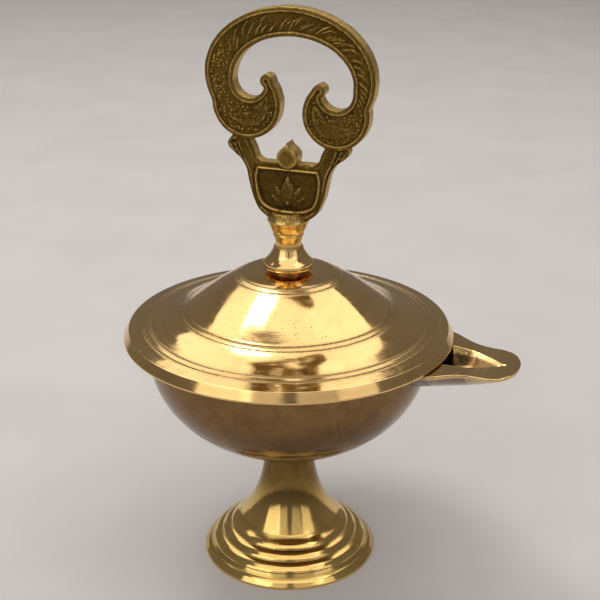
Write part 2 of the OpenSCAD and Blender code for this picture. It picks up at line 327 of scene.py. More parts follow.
class Graph:
    """A material's node tree, short to write. Values may be sockets, numbers or tuples."""

    def __init__(self, name):
        self.material = bpy.data.materials.new(name)
        self.material.use_nodes = True
        self.tree = self.material.node_tree
        self.shader = self.tree.nodes["Principled BSDF"]
        self.mm = self.vector("SCALE", self.node("ShaderNodeTexCoord", "Object"), scale=1000.0)

    def link(self, value, socket):
        if isinstance(value, (int, float)):
            socket.default_value = value
        elif isinstance(value, tuple):
            alpha = () if len(socket.default_value) == len(value) else (1.0,)
            socket.default_value = (*value, *alpha)
        else:
            self.tree.links.new(value, socket)

    def node(self, kind, out, inputs=(), **settings):
        """One output of a new node with the given inputs and settings."""
        n = self.tree.nodes.new(kind)
        for key, value in settings.items():
            setattr(n, key, value)
        for key, value in dict(inputs).items():
            self.link(value, n.inputs[key])
        return n.outputs[out]

    def math(self, how, a, b, clamp=False):
        return self.node("ShaderNodeMath", 0, {0: a, 1: b}, operation=how, use_clamp=clamp)

    def times(self, a, b, clamp=False):
        return self.math("MULTIPLY", a, b, clamp)

    def plus(self, a, b, clamp=False):
        return self.math("ADD", a, b, clamp)

    def minus(self, a, b, clamp=False):
        return self.math("SUBTRACT", a, b, clamp)

    def vector(self, how, a, b=(0.0, 0.0, 0.0), scale=1.0):
        out = "Value" if how == "LENGTH" else "Vector"
        return self.node("ShaderNodeVectorMath", out, {0: a, 1: b, 3: scale}, operation=how)

    def mix(self, share, a, b):
        return self.node("ShaderNodeMix", 2, {0: share, 6: a, 7: b}, data_type="RGBA")

    def noise(self, where, scale, detail=3.0, rough=0.55, warp=0.0):
        shape = {"Scale": scale, "Detail": detail, "Roughness": rough, "Distortion": warp}
        return self.node("ShaderNodeTexNoise", "Fac", {"Vector": where, **shape})

    def cells(self, where, scale):
        return self.node("ShaderNodeTexVoronoi", "Distance", {"Vector": where, "Scale": scale})

    def span(self, value, low, high, to_low=0.0, to_high=1.0):
        limits = {"From Min": low, "From Max": high, "To Min": to_low, "To Max": to_high}
        inputs = {"Value": value, **limits}
        return self.node("ShaderNodeMapRange", "Result", inputs, interpolation_type="SMOOTHSTEP")

    def attribute(self, name):
        return self.node("ShaderNodeAttribute", "Fac", attribute_name=name)

    def bump(self, height, distance_mm, after=None):
        inputs = {"Distance": distance_mm * MM, "Height": height}
        if after is not None:
            inputs["Normal"] = after
        return self.node("ShaderNodeBump", "Normal", inputs)

    def turned(self):
        """Coordinates that follow the lathe, as (distance from the axis, height, 0), and the height."""
        flat = self.vector("MULTIPLY", self.mm, (1.0, 1.0, 0.0))
        height = self.node("ShaderNodeSeparateXYZ", 2, {0: self.mm})
        ring = {0: self.vector("LENGTH", flat), 1: height}
        return self.node("ShaderNodeCombineXYZ", 0, ring), height

    def metal(self, tone, dull, surface):
        """The finished material: bare metal with this colour, roughness and surface."""
        self.link(tone, self.shader.inputs["Base Color"])
        self.link(dull, self.shader.inputs["Roughness"])
        self.link(surface, self.shader.inputs["Normal"])
        self.shader.inputs["Metallic"].default_value = 1.0
        return self.material


def scaled(colour, gain, lift=0.0):
    """A lighter or darker colour."""
    return tuple(min(1.0, c * gain + lift) for c in colour)


def turned_brass(
    name, colour, tarnish, rough, tarnish_amount, lines, pits=0.0, spin=0.15, painted_dark_band=None
):
    """Lathe-turned, buffed brass: turning lines, uneven tone, worn edges, grime in the corners.

    The painted dark band is painted shade and painted reflection set by height, not a film on the metal:
    the heights at which it starts and is full, its strength and its colour.
    """
    g = Graph(name)
    ring, height = g.turned()
    ring = g.vector("ADD", ring, g.vector("SCALE", g.mm, scale=0.004))
    fine = g.noise(ring, 5.0, 4.0, 0.6)
    broad = g.noise(ring, 0.9, 2.0, 0.5)
    cloud = g.noise(g.mm, 0.06, 4.0, 0.6, 0.6)
    patch = g.noise(g.mm, 0.21, 5.0, 0.62, 0.9)
    speck = g.noise(g.mm, 1.7, 3.0, 0.6)
    edge, crevice = g.attribute("edge"), g.attribute("crevice")

    dulled = g.times(g.span(cloud, 0.42, 0.68), tarnish_amount)
    patches = g.times(g.span(patch, 0.55, 0.75), tarnish_amount * 0.6)
    dulled = g.plus(dulled, patches, clamp=True)
    tone = g.mix(dulled, colour, tarnish)
    # painted shade and painted reflection: the colour is darkened by height to stand for shade and for
    # dark surroundings seen in the metal
    if painted_dark_band:
        low, high, amount, shade = painted_dark_band
        film = g.times(g.span(height, low, high, 0.0, amount), g.span(patch, 0.3, 0.7, 1.0, 0.9))
        tone = g.mix(film, tone, shade)
    tone = g.mix(g.times(g.span(fine, 0.35, 0.7), 0.12 * lines), tone, scaled(tarnish, 0.7))
    tone = g.mix(g.times(edge, 0.7), tone, scaled(colour, 1.12, 0.05))
    grime = g.times(crevice, g.span(speck, 0.3, 0.62, 0.45, 1.0), clamp=True)
    tone = g.mix(g.times(grime, 0.7), tone, (0.07, 0.04, 0.018))

    dull = g.plus(rough, g.times(dulled, 0.14))
    dull = g.plus(dull, g.times(g.span(broad, 0.3, 0.7), 0.05 * lines))
    dull = g.plus(dull, g.times(g.span(patch, 0.5, 0.8), 0.06))
    dull = g.plus(dull, g.times(grime, 0.35), clamp=True)

    surface = g.bump(fine, 0.006 * lines)
    surface = g.bump(g.noise(g.mm, 0.16, 2.0, 0.5), 0.05, after=surface)
    if pits:
        skewed = g.vector("ADD", g.mm, g.vector("MULTIPLY", g.mm, (0.35, -0.2, 0.1)))
        chosen = g.span(g.noise(g.mm, 0.085, 1.0, 0.5), 0.57, 0.6)
        spots = g.minus(1.0, g.span(g.cells(skewed, 0.55), 0.05, 0.12), clamp=True)
        spots = g.times(spots, chosen)
        nick = g.noise(g.vector("MULTIPLY", g.mm, (1.0, 0.35, 1.4)), 0.9, 3.0, 0.7, 1.5)
        nick = g.times(g.span(nick, 0.73, 0.77), chosen)
        spots = g.times(g.math("MAXIMUM", spots, nick), pits, clamp=True)
        tone = g.mix(spots, tone, (0.06, 0.04, 0.02))
        dull = g.plus(dull, g.times(spots, 0.4), clamp=True)
        surface = g.bump(g.minus(1.0, spots), 0.06, after=surface)
    around = g.node("ShaderNodeTangent", 0, direction_type="RADIAL", axis="Z")
    g.link(around, g.shader.inputs["Tangent"])
    g.link(spin, g.shader.inputs["Anisotropic"])
    return g.metal(tone, dull, surface)


def cast_brass(name):
    """Sand-cast brass with an antique wash: bright on rubbed edges and on the painted highlight of the
    plate's upward walls, dark brown in the sunk ground.
    """
    g = Graph(name)
    edge, crevice, polish = g.attribute("edge"), g.attribute("crevice"), g.attribute("polish")
    cloud = g.noise(g.mm, 0.12, 4.0, 0.6, 0.5)
    grain = g.noise(g.mm, 1.6, 5.0, 0.68)
    sand = g.noise(g.mm, 4.5, 3.0, 0.6)
    # on the finial plate's side walls the edge attribute also carries a painted highlight on the
    # upward-facing walls
    rubbed = g.times(edge, g.span(grain, 0.3, 0.6, 0.45, 1.0), clamp=True)
    deep = g.times(crevice, g.span(grain, 0.25, 0.6, 1.0, 0.5), clamp=True)

    tone = g.mix(g.span(cloud, 0.35, 0.7), (0.15, 0.088, 0.016), (0.095, 0.054, 0.01))
    tone = g.mix(g.times(g.span(grain, 0.46, 0.72), 0.4), tone, (0.32, 0.2, 0.045))
    tone = g.mix(g.times(deep, 0.95), tone, (0.022, 0.013, 0.005))
    tone = g.mix(rubbed, tone, (0.84, 0.57, 0.17))
    tone = g.mix(polish, tone, (0.82, 0.57, 0.19))

    dull = g.plus(g.span(grain, 0.3, 0.7, 0.32, 0.46), g.times(deep, 0.25))
    dull = g.minus(dull, g.times(rubbed, 0.06))
    dull = g.minus(dull, g.times(polish, 0.2), clamp=True)

    rough_skin = g.minus(1.0, g.times(polish, 0.9))
    surface = g.bump(g.times(sand, rough_skin), 0.06)
    surface = g.bump(g.times(grain, rough_skin), 0.12, after=surface)
    return g.metal(tone, dull, surface)


def hardware(name, colour, dark, rough):
    """Machined or plated hardware: tool marks, rubbed edges, dull film in the corners."""
    g = Graph(name)
    edge, crevice = g.attribute("edge"), g.attribute("crevice")
    marks = g.noise(g.turned()[0], 7.0, 3.0, 0.6)
    film = g.noise(g.mm, 0.5, 4.0, 0.6, 0.4)
    tone = g.mix(g.span(film, 0.4, 0.7), colour, dark)
    tone = g.mix(g.times(crevice, 0.8, clamp=True), tone, scaled(dark, 0.25))
    tone = g.mix(g.times(edge, 0.6, clamp=True), tone, scaled(colour, 1.2))
    dull = g.plus(rough, g.times(g.span(film, 0.35, 0.75), 0.15))
    return g.metal(tone, dull, g.bump(marks, 0.012))


GOLD = (0.90, 0.605, 0.25)
BROWN = (0.50, 0.29, 0.10)
# painted reflection: the bowl is darkened below the lip to stand for the dark surroundings its belly
# mirrors; the inside darkens with it
BELLY_PAINTED_REFLECTION = (66.9, 66.3, 1.0, (0.18, 0.10, 0.042))
# painted shade: the foot is darkened up towards its neck, where it lies in the shade under the bowl
NECK_PAINTED_SHADE = (11, 26, 0.97, (0.11, 0.064, 0.018))
mat_lid = turned_brass("polished_brass_lid", GOLD, BROWN, 0.045, 0.3, 1.0, pits=0.9)
mat_collar = turned_brass("polished_brass_collar", GOLD, BROWN, 0.07, 0.3, 0.7)
mat_bowl = turned_brass(
    "polished_brass_bowl", (0.84, 0.57, 0.24), (0.45, 0.28, 0.12), 0.08, 0.45, 1.3,
    pits=0.4, spin=0.3, painted_dark_band=BELLY_PAINTED_REFLECTION,
)
mat_foot = turned_brass(
    "polished_brass_foot", (0.85, 0.585, 0.19), BROWN, 0.06, 0.4, 1.2,
    pits=0.5, spin=0.2, painted_dark_band=NECK_PAINTED_SHADE,
)
mat_cast = cast_brass("cast_brass_antique")
mat_thread = hardware("threaded_brass_machined", (0.74, 0.54, 0.22), (0.50, 0.34, 0.14), 0.28)
mat_steel = hardware("plated_steel_zinc", (0.66, 0.65, 0.60), (0.50, 0.50, 0.47), 0.32)


# ---------------------------------------------------------------- foot

NECK_R, FLARE_R, FLARE_Z = 7.2, 32.8, 31.0  # the flare is an arc that meets the neck at FLARE_Z
FLARE_END = 38.5
FOOT_WALL, STUD_HOLE, CEILING = 2.0, 2.7, 18.0
STEP_W, STEP_H, FIRST_EDGE = 2.6, 2.2, 3.8
ROLLED_TREAD = [(-0.24, 0.42), (-0.74, 0.9), (-1.25, 1.35), (-1.95, 1.75), (-2.3, 1.87)]
TOP_TREAD = [(-0.24, 0.4), (-0.9, 0.98), (-2.0, 1.75)]


def flare(radius, start, end, count):
    """An arc round the flare's centre, between two angles."""
    turn = np.radians(np.linspace(start, end, count))
    middle = NECK_R + FLARE_R
    return [(middle - radius * math.cos(t), FLARE_Z - radius * math.sin(t)) for t in turn]


steps = []
for i in range(3):
    r, z = FOOT_R - STEP_W * (i + 1), FIRST_EDGE + STEP_H * i
    steps += [(r + 0.12, z - 0.29, 0.1), (r + 0.02, z - 0.03, 0.07)]
    if i < 2:
        steps += smooth([(r + x, z + h) for x, h in ROLLED_TREAD], 0.25)
    else:
        steps += [(r + x, z + h) for x, h in TOP_TREAD]
skirt = [(FOOT_R - 0.14, 0.82), (FOOT_R - 0.42, 1.16), (FOOT_R - 1.05, 1.9), (FOOT_R - 1.8, 2.48)]
foot_profile = rounded(
    [(FOOT_R - FOOT_WALL, 0, 0.2), (FOOT_R, 0, 0.15), (FOOT_R - 0.01, 0.62, 0.2)]
    + smooth(skirt, 0.25)
    + steps
    + flare(FLARE_R, FLARE_END, 0, 40)
    + [(NECK_R, 33.6), (NECK_R, SEAT, 0.25), (STUD_HOLE, SEAT, 0.15), (STUD_HOLE, CEILING, 0.3)]
    + flare(FLARE_R + FOOT_WALL, FLARE_END, 21.95, 16)[::-1]
    + [(FOOT_R - 4.4, 2.2, 0.6)]
)
turned_piece("foot_turned", foot_profile, "base", "foot", mat_foot, grime=[(SEAT, 0.5, 1.0)])


# ---------------------------------------------------------------- bowl

BOWL_R, WALL, BELLY_Z, BELLY_B = 39.0, 1.8, 64.0, 30.0
IN_A, IN_B = BOWL_R - WALL, BELLY_B - WALL
STUD_R, STUD_TOP = 2.52, 42.0  # the blind hole for the foot's stud
BOSS_R, BOSS_TOP = 5.6, 44.0
LIP = RIM - 0.3
SCORE_Z = 47.2  # a shallow turned line low on the belly


def belly_point(turn, depth=0.0):
    """A point of the belly's outer ellipse, or of a line cut into it."""
    return ((BOWL_R - depth) * math.cos(turn), BELLY_Z + (BELLY_B - depth) * math.sin(turn))


def turn_at(z):
    """The angle at which that ellipse reaches a height."""
    return math.asin((z - BELLY_Z) / BELLY_B)


scored = turn_at(SCORE_Z)
belly = [belly_point(t) for t in np.linspace(turn_at(SEAT), 0, 84)]
for turn, depth in ((-0.009, 0.0), (-0.003, 0.13), (0.003, 0.13), (0.009, 0.0)):
    belly.append(belly_point(scored + turn, depth))
belly = [p for p in belly if abs(p[1] - SCORE_Z) > 0.3 or abs(turn_at(p[1]) - scored) < 0.0095]
belly.sort(key=lambda p: p[1])
outside = [(0, STUD_TOP), (STUD_R, STUD_TOP, 0.2), (STUD_R, SEAT, 0.2), (belly[0][0] - 0.02, SEAT, 0.12)]
bowl = lathe("bowl_cast", rounded(outside + belly[1:] + [(BOWL_R, RIM, 0.25), (0, RIM)]))

boss_foot = BELLY_Z - IN_B * math.sqrt(1 - (BOSS_R / IN_A) ** 2)
quarter = np.linspace(-math.pi / 2, 0, 84)
hollow = [(IN_A * math.cos(t), BELLY_Z + IN_B * math.sin(t)) for t in quarter]
hollow = [p for p in hollow if p[0] > BOSS_R + 1]
mouth = [(IN_A, RIM - 0.35, 0.2), (IN_A + 0.4, RIM + 0.05), (IN_A + 0.4, RIM + 3), (0, RIM + 3)]
boss = [(0, BOSS_TOP), (BOSS_R, BOSS_TOP, 0.9), (BOSS_R, boss_foot, 1.3)]
inside = lathe("bowl_hollow", rounded(boss + hollow + mouth))


def along(points, x):
    """Value at x of the smooth curve through the points."""
    p = np.array(smooth(points, 0.2))
    return np.interp(x, p[:, 0], p[:, 1])


# the spout's half width, the dip of its lip and its keel's height, all along X
width_line = [
    (31, 18.0), (34, 17.5), (38, 16.9), (41, 16.3), (43, 15.6), (45, 14.5), (47, 13.0), (50, 11.1),
    (53, 10.2), (56, 9.95), (58.5, 9.8), (61, 8.7), (62.7, 6.8), (63.8, 4.4), (64.35, 2.4),
    (SPOUT_TIP - 0.12, 0.25),
]
sag_line = [(31, 0.0), (43, 0.0), (49, 0.27), (53, 0.58), (58, 0.8), (62.3, 0.8), (66, 0.7)]
keel_line = [
    (31, 56.6), (36, 57.5), (41, 58.5), (47.6, 59.7), (54.3, 61.1), (59.6, 62.9), (62.1, 64.6),
    (63.8, 66.5), (SPOUT_TIP, 67.3),
]


def spout_ring(x, w):
    """One cross-section of the spout's solid, from the middle of its top round to the middle again."""
    keel = float(along(keel_line, x))
    ease = min(1.0, w / 3.0)
    edge = 0.4 * ease
    thick = 0.85 * ease + 0.5 * (1 - ease)
    lip = LIP - float(along(sag_line, x))
    half = [(w * k, lip) for k in np.linspace(0, 0.94, 9)[:-1]]
    half += [(w - edge * k, lip - edge * h) for k, h in ((0.75, 0), (0.32, 0.14), (0.08, 0.45), (0, 0.95))]
    half += [(w - 0.02, lip - thick * 0.75), (w - 0.12 * ease, lip - thick * 0.92)]
    half.append((w - 0.4 * ease, lip - thick * 1.05))
    y0, z0 = half[-1]
    y1 = min(1.7, w * 0.3)
    for k in np.linspace(0, 1, 12)[1:]:
        sag = 0.09 * math.sin(math.pi * k) * (z0 - keel)
        half.append((y0 + (y1 - y0) * k, z0 + (keel + 0.35 * ease - z0) * k - sag))
    half += [(y1 * 0.5, keel + 0.06 * ease), (0, keel)]
    left = [(-y, z) for y, z in half[-2:0:-1]]
    return [(x, y, z) for y, z in half + left]


rings = [spout_ring(x, w) for x, w in smooth(width_line, 0.45)]
verts, faces = tube(rings)
count = len(rings[0])
for first, ring in ((0, rings[0]), ((len(rings) - 1) * count, rings[-1])):
    verts.append(tuple(np.mean(ring, axis=0)))
    faces += [(first + k, first + (k + 1) % count, len(verts) - 1) for k in range(count)]
spout = put_mesh("spout", verts, faces)

# the wick channel's floor height and half width along X
CHANNEL_END = SPOUT_TIP - 4.2
floor_line = [
    (30, 62.6), (33, 62.8), (43, 63.4), (50, 63.9), (54, 65.1), (58, 66.5), (CHANNEL_END, 67.1), (66, 70),
]
channel_line = [
    (30, 7.6), (40, 6.6), (47, 5.95), (51.4, 5.25), (54.4, 3.95), (57.4, 2.25), (CHANNEL_END, 0.25),
    (66, 0),
]


def channel_ring(x):
    """One cross-section of the wick channel, a V with a rounded floor, open upwards."""
    g = max(float(along(channel_line, x)), 0.02)
    lip = LIP - float(along(sag_line, x))
    z = min(float(along(floor_line, x)), lip - 0.2)
    brim = lip - 0.14
    f = 0.2 * g + 0.1
    half = [(0, z - 0.12 * min(g, 1)), (f * 0.6, z - 0.06 * min(g, 1)), (f, z + 0.05)]
    half += [(f + (g - f) * k, z + 0.05 + (brim - z - 0.05) * k) for k in (0.25, 0.5, 0.75, 1.0)]
    half += [(g + 0.2, lip), (g + 0.6, lip + 0.3), (g + 0.6, RIM + 2.5)]
    return [(x, y, zz) for y, zz in half + [(-y, zz) for y, zz in half[::-1] if y > 0]]


channel_x = np.concatenate([np.linspace(31, 58, 28), np.linspace(58.6, CHANNEL_END + 0.25, 9)])
rings = [channel_ring(x) for x in channel_x]
verts, faces = tube(rings)
channel = put_mesh("channel", verts, faces + end_caps(len(rings), len(rings[0])))

combine(bowl, spout, "UNION")
combine(bowl, inside, "DIFFERENCE")
combine(bowl, channel, "DIFFERENCE")


def read_all(items, key, width, kind=float):
    """One property of every item, as rows of the given width."""
    out = np.zeros(len(items) * width, kind)
    items.foreach_get(key, out)
    return out.reshape(-1, width) if width > 1 else out


def true_normals(obj):
    """Gives the turned surfaces of the cut bowl the normals of their ellipses, to reflect evenly."""
    obj.data.polygons.foreach_set("use_smooth", [True] * len(obj.data.polygons))
    obj.data.set_sharp_from_angle(angle=math.radians(32))
    even_shading(obj)
    apply_modifiers(obj)
    mesh = obj.data
    corner = read_all(mesh.corner_normals, "vector", 3)
    sizes = read_all(mesh.polygons, "loop_total", 1, int)
    face = np.repeat(read_all(mesh.polygons, "normal", 3), sizes, axis=0)
    p = (read_all(mesh.vertices, "co", 3) / MM)[read_all(mesh.loops, "vertex_index", 1, int)]
    r = np.hypot(p[:, 0], p[:, 1])
    below = np.minimum(p[:, 2] - BELLY_Z, 0)
    for a, b, sign in ((BOWL_R, BELLY_B, 1), (IN_A, IN_B, -1)):
        k = np.hypot(r / a, below / b)
        n = np.stack([p[:, 0] / a**2, p[:, 1] / a**2, below / b**2], 1)
        n *= sign / np.maximum(np.linalg.norm(n, axis=1), 1e-9)[:, None]
        hit = (np.abs(k - 1) < 0.002) & (np.sum(n * face, axis=1) > 0.985)
        corner[hit] = n[hit]
    mesh.normals_split_custom_set(corner.tolist())


true_normals(bowl)
finish_piece(bowl, "base", "bowl", mat_bowl)


# ---------------------------------------------------------------- lid

BORE = 2.1  # of lid and collar, round the finial's tail
UNDER = CROWN - 1.9
LOCATOR_R, LOCATOR_IN, LOCATOR_H = 36.4, 35.2, 4.0  # the locating ring inside the bowl's mouth
top_points = [
    (5.4, 0), (9.0, -0.14), (11.5, -0.37), (13.2, -0.74), (14.5, -1.4), (17, -2.78), (20, -4.58),
    (24, -7.34), (28.2, -10.45), (29.3, -11.18), (31, -12.03), (34, -13.15), (38.3, -14.18),
    (40.1, -14.63), (LID_R - 1.45, -15.42),
]
turned_lines = [
    (13.2, 0.6, 0.16), (14.65, 0.55, 0.16), (28.2, 0.6, 0.2), (29.45, 0.55, 0.18), (38.3, 0.55, 0.17),
    (40.05, 0.6, 0.18),
]
top_curve = grooved(smooth(lifted(top_points, CROWN), 0.55), turned_lines)
lid_profile = rounded(
    [(BORE, UNDER, 0.2), (BORE, CROWN, 0.2), (4.4, CROWN)]
    + [tuple(p) for p in top_curve[:-1]]
    + [(LID_R - 1.45, CROWN - 15.4, 0.12), (LID_R, RIM + 0.45, 0.14), (LID_R, RIM, 0.14)]
    + [(36.8, RIM, 0.12), (LOCATOR_R, RIM - LOCATOR_H, 0.3), (LOCATOR_IN, RIM - LOCATOR_H, 0.3)]
    + [(LOCATOR_IN, UNDER - 13.4, 0.8), (33.8, UNDER - 12.8)]
    + smooth(lifted([(27.2, -10.3), (19, -4.7), (12.4, -0.5)], UNDER), 1.0)
    + [(10, UNDER)]
)
turned_piece("lid_spun", lid_profile, "lid_group", "lid", mat_lid)

spool = [
    (BORE, 0, 0.1), (4.75, 0, 0.1), (4.75, 0.3, 0.12), (4.4, 0.62, 0.12), (5.2, 0.87, 0.3),
    (6.45, 1.17, 0.3), (6.78, 1.65, 0.3), (6.8, 2.7, 0.14),
]
cone = lifted([(6.62, 2.92), (5.55, 4.1), (4.6, 5.6)], CROWN) + [(4.0, JOINT - 0.25)]
seat = [(3.9, JOINT, 0.1), (BORE, JOINT, 0.1)]
collar_profile = rounded(lifted(spool, CROWN) + smooth(cone, 0.35) + seat)
collar_grime = [(JOINT, 0.55, 0.95), (CROWN + 0.3, 0.9, 0.85)]
turned_piece("collar_turned", collar_profile, "lid_group", "lid_collar", mat_collar, 160, collar_grime)


# ---------------------------------------------------------------- finial

HALF_T = 2.25
GRID = 0.18
MID = 0.4  # the plaque's middle line
us = np.arange(-22.95, 24.6, GRID)
ws = np.arange(JOINT + 7.0, JOINT + 64.2, GRID)
U, W = np.meshgrid(us, ws, indexing="ij")


def ellipse_in(c, a, b):
    """Roughly the distance inside an ellipse, in millimetres."""
    du, dw = U - c[0], W - c[1]
    k = np.sqrt((du / a) ** 2 + (dw / b) ** 2) + 1e-9
    return (1 - k) * k / (np.sqrt((du / a**2) ** 2 + (dw / b**2) ** 2) + 1e-9)


def circle_in(c, r):
    """Distance inside a circle."""
    return r - np.hypot(U - c[0], W - c[1])


def polygon_in(points):
    """Signed distance to a closed outline, positive inside."""
    p = np.array(points, float)
    best = np.full(U.shape, 1e9)
    inside = np.zeros(U.shape, bool)
    for a, b in zip(p, np.roll(p, -1, 0)):
        e = b - a
        t = np.clip(((U - a[0]) * e[0] + (W - a[1]) * e[1]) / max(e @ e, 1e-12), 0, 1)
        best = np.minimum(best, (U - a[0] - t * e[0]) ** 2 + (W - a[1] - t * e[1]) ** 2)
        crosses = (a[1] > W) != (b[1] > W)
        inside ^= crosses & (U < a[0] + e[0] * (W - a[1]) / (e[1] if e[1] else 1e-12))
    return np.where(inside, 1, -1) * np.sqrt(best)


def mirrored_in(points):
    """Distance inside an outline given by its right half, with heights counted from the joint."""
    half = lifted(smooth(points, 0.9), JOINT)
    return polygon_in([(MID + x, z) for x, z in half] + [(MID - x, z) for x, z in half[::-1]])


def stroke_in(a, b, r0, r1):
    """Distance inside a tapered stroke from a to b."""
    e = np.array(b, float) - np.array(a, float)
    t = np.clip(((U - a[0]) * e[0] + (W - a[1]) * e[1]) / max(e @ e, 1e-12), 0, 1)
    return r0 + (r1 - r0) * t - np.hypot(U - a[0] - t * e[0], W - a[1] - t * e[1])


def blend_max(a, b, k):
    """The larger of two fields, with a soft fillet of about k between them."""
    h = np.clip(0.5 + 0.5 * (a - b) / k, 0, 1)
    return b + (a - b) * h + k * h * (1 - h)


RING_C, RING_A, RING_B = np.array([0.8, JOINT + 45.9]), 23.2, 17.8
INNER_C, INNER_A, INNER_B = RING_C + [1.0, -1.2], RING_A - 6.9, RING_B - 6.2
LOBES = [(np.array([-11.0, JOINT + 38.4]), 9.5, -1), (np.array([13.5, JOINT + 36.8]), 9.0, 1)]
CURL_R, CURL_Z = 4.4, 5.8

# the ring: a band between two ellipses, open below, with a round lobe and a curl at each end
inner_ellipse = ellipse_in(INNER_C, INNER_A, INNER_B)
ring_in = np.minimum(ellipse_in(RING_C, RING_A, RING_B), -inner_ellipse)
across = np.minimum(U - LOBES[0][0][0], LOBES[1][0][0] - U)
opening = np.minimum(across, np.minimum(JOINT + 37.4 - W, W - (JOINT + 20.0)))
ring_in = np.minimum(ring_in, -opening)
for c, r, side in LOBES:
    ring_in = blend_max(ring_in, circle_in(c, r), 0.5)
for c, r, side in LOBES:
    curl = np.array([INNER_C[0] + side * (INNER_A - CURL_R), c[1] + CURL_Z])
    slot = np.minimum(CURL_R - np.abs(U - curl[0]), np.minimum(W - curl[1], curl[1] + 5 - W))
    slot = np.minimum(slot, inner_ellipse)
    ring_in = np.minimum(ring_in, -blend_max(circle_in(curl, CURL_R), slot, 0.3))
for c, r, side in LOBES:
    bud = np.array([INNER_C[0] + side * (INNER_A - 2 * CURL_R - 0.4), c[1] + CURL_Z + 0.3])
    ring_in = blend_max(ring_in, circle_in(bud, 1.7), 0.5)

plaque_half = [
    (5.5, 7.8), (8.2, 10), (9.8, 13.4), (10.8, 17.2), (11.6, 20.7), (13.2, 23.5), (16.6, 26.5),
    (16.4, 28.4), (14.6, 30), (11.5, 29.6), (9.6, 26.8), (8.6, 24.2), (7.2, 23.2),
]
plaque_in = mirrored_in(plaque_half)
field_half = [
    (0.6, 9.9), (2.8, 10), (5, 10.5), (6.9, 11.6), (8, 13.6), (8.6, 16.6), (8.7, 19.4), (8.2, 21.4),
]
field_in = mirrored_in(field_half)
BEAD = np.array([MID, JOINT + 24.7])
bead_tip = stroke_in(BEAD + [0, 1.5], BEAD + [0, 4.0], 1.7, 0.15)
bead_in = blend_max(circle_in(BEAD, 2.9), bead_tip, 0.5)
shape_in = blend_max(blend_max(ring_in, plaque_in, 0.6), bead_in, 0.35)


def lattice_noise(cell, seed):
    """Smooth random values over the plate, one knot every cell millimetres."""
    r = np.random.default_rng(seed)
    grid = r.uniform(-1, 1, (int(60 / cell) + 4, int(70 / cell) + 4))
    x, y = (U + 25) / cell, (W - JOINT) / cell
    i, j = x.astype(int), y.astype(int)
    fx, fy = x - i, y - j
    fx, fy = fx * fx * (3 - 2 * fx), fy * fy * (3 - 2 * fy)
    low = grid[i, j] * (1 - fx) + grid[i + 1, j] * fx
    high = grid[i, j + 1] * (1 - fx) + grid[i + 1, j + 1] * fx
    return low * (1 - fy) + high * fy


wavy = 0.07 * lattice_noise(3.0, 3) + 0.03 * lattice_noise(1.1, 4)
shape_in = shape_in + wavy - 0.04
ring_in = ring_in + wavy - 0.04


def crossings(field):
    """Where a field changes sign on the grid's lines: axis, grid places and share of the way."""
    for axis in (0, 1):
        a = field[:-1] if axis == 0 else field[:, :-1]
        b = field[1:] if axis == 0 else field[:, 1:]
        i, j = np.nonzero((a > 0) != (b > 0))
        yield axis, i, j, a[i, j] / (a[i, j] - b[i, j])


def on_grid_line(axis, i, j, t):
    """Points on the grid's lines, the share t of the way to the next knot."""
    return np.stack([us[i] + t * GRID * (axis == 0), ws[j] + t * GRID * (axis == 1)], 1)


def depth_inside(field, reach=4.0):
    """Distance from each grid point inside a field to its outline."""
    points = np.concatenate([on_grid_line(*c) for c in crossings(field)])
    tree = kdtree.KDTree(len(points))
    for k, p in enumerate(points):
        tree.insert((p[0], p[1], 0), k)
    tree.balance()
    out = np.zeros(field.shape)
    for i, j in zip(*np.nonzero(field > 0)):
        out[i, j] = min(reach, tree.find((us[i], ws[j], 0))[2])
    near = np.clip(field, 0, None)
    return np.where(out < 0.3, np.minimum(out, near + 0.02), out)


def rise(x, a, b):
    """From 0 at a to 1 at b, smoothly."""
    t = np.clip((x - a) / (b - a), 0, 1)
    return t * t * (3 - 2 * t)


def dome(inside, width, height):
    """A raised rounded line or dot, height high, whose sides rise over width."""
    return height * np.sqrt(np.clip(1 - (1 - np.clip(inside / width, 0, 1)) ** 2, 0, 1))


ROUND = 0.42
d_ring = depth_inside(ring_in)
d_plaque = depth_inside(plaque_in)
d_bead = depth_inside(bead_in)


def cast_edge(d):
    """How far the surface drops towards a rounded edge."""
    k = np.clip(1 - d / ROUND, 0, 1)
    return ROUND * (1 - np.sqrt(np.clip(1 - k * k, 0, 1)))


# from the outline inwards: a drafted bevel, a thin raised line, then shallow sunk ground
reach = np.linspace(0, 4, 201)
bevel = [(0, -ROUND), (0.1, -0.26), (0.3, -0.13), (0.6, -0.1), (0.8, -0.12)]
line = [(0.97, 0.04), (1.14, -0.12), (1.35, -0.25), (4, -0.25)]
section = np.interp(reach, *zip(*(bevel + line)))
softener = np.hanning(9)
section = np.convolve(np.pad(section, 4, "edge"), softener / softener.sum(), "valid")
section[0] = -ROUND
h_ring = np.interp(d_ring, reach, section)
ornament = np.zeros(U.shape)
room = rise(d_ring, 1.45, 1.8)
worn = 0.72 + 0.28 * lattice_noise(2.4, 21)

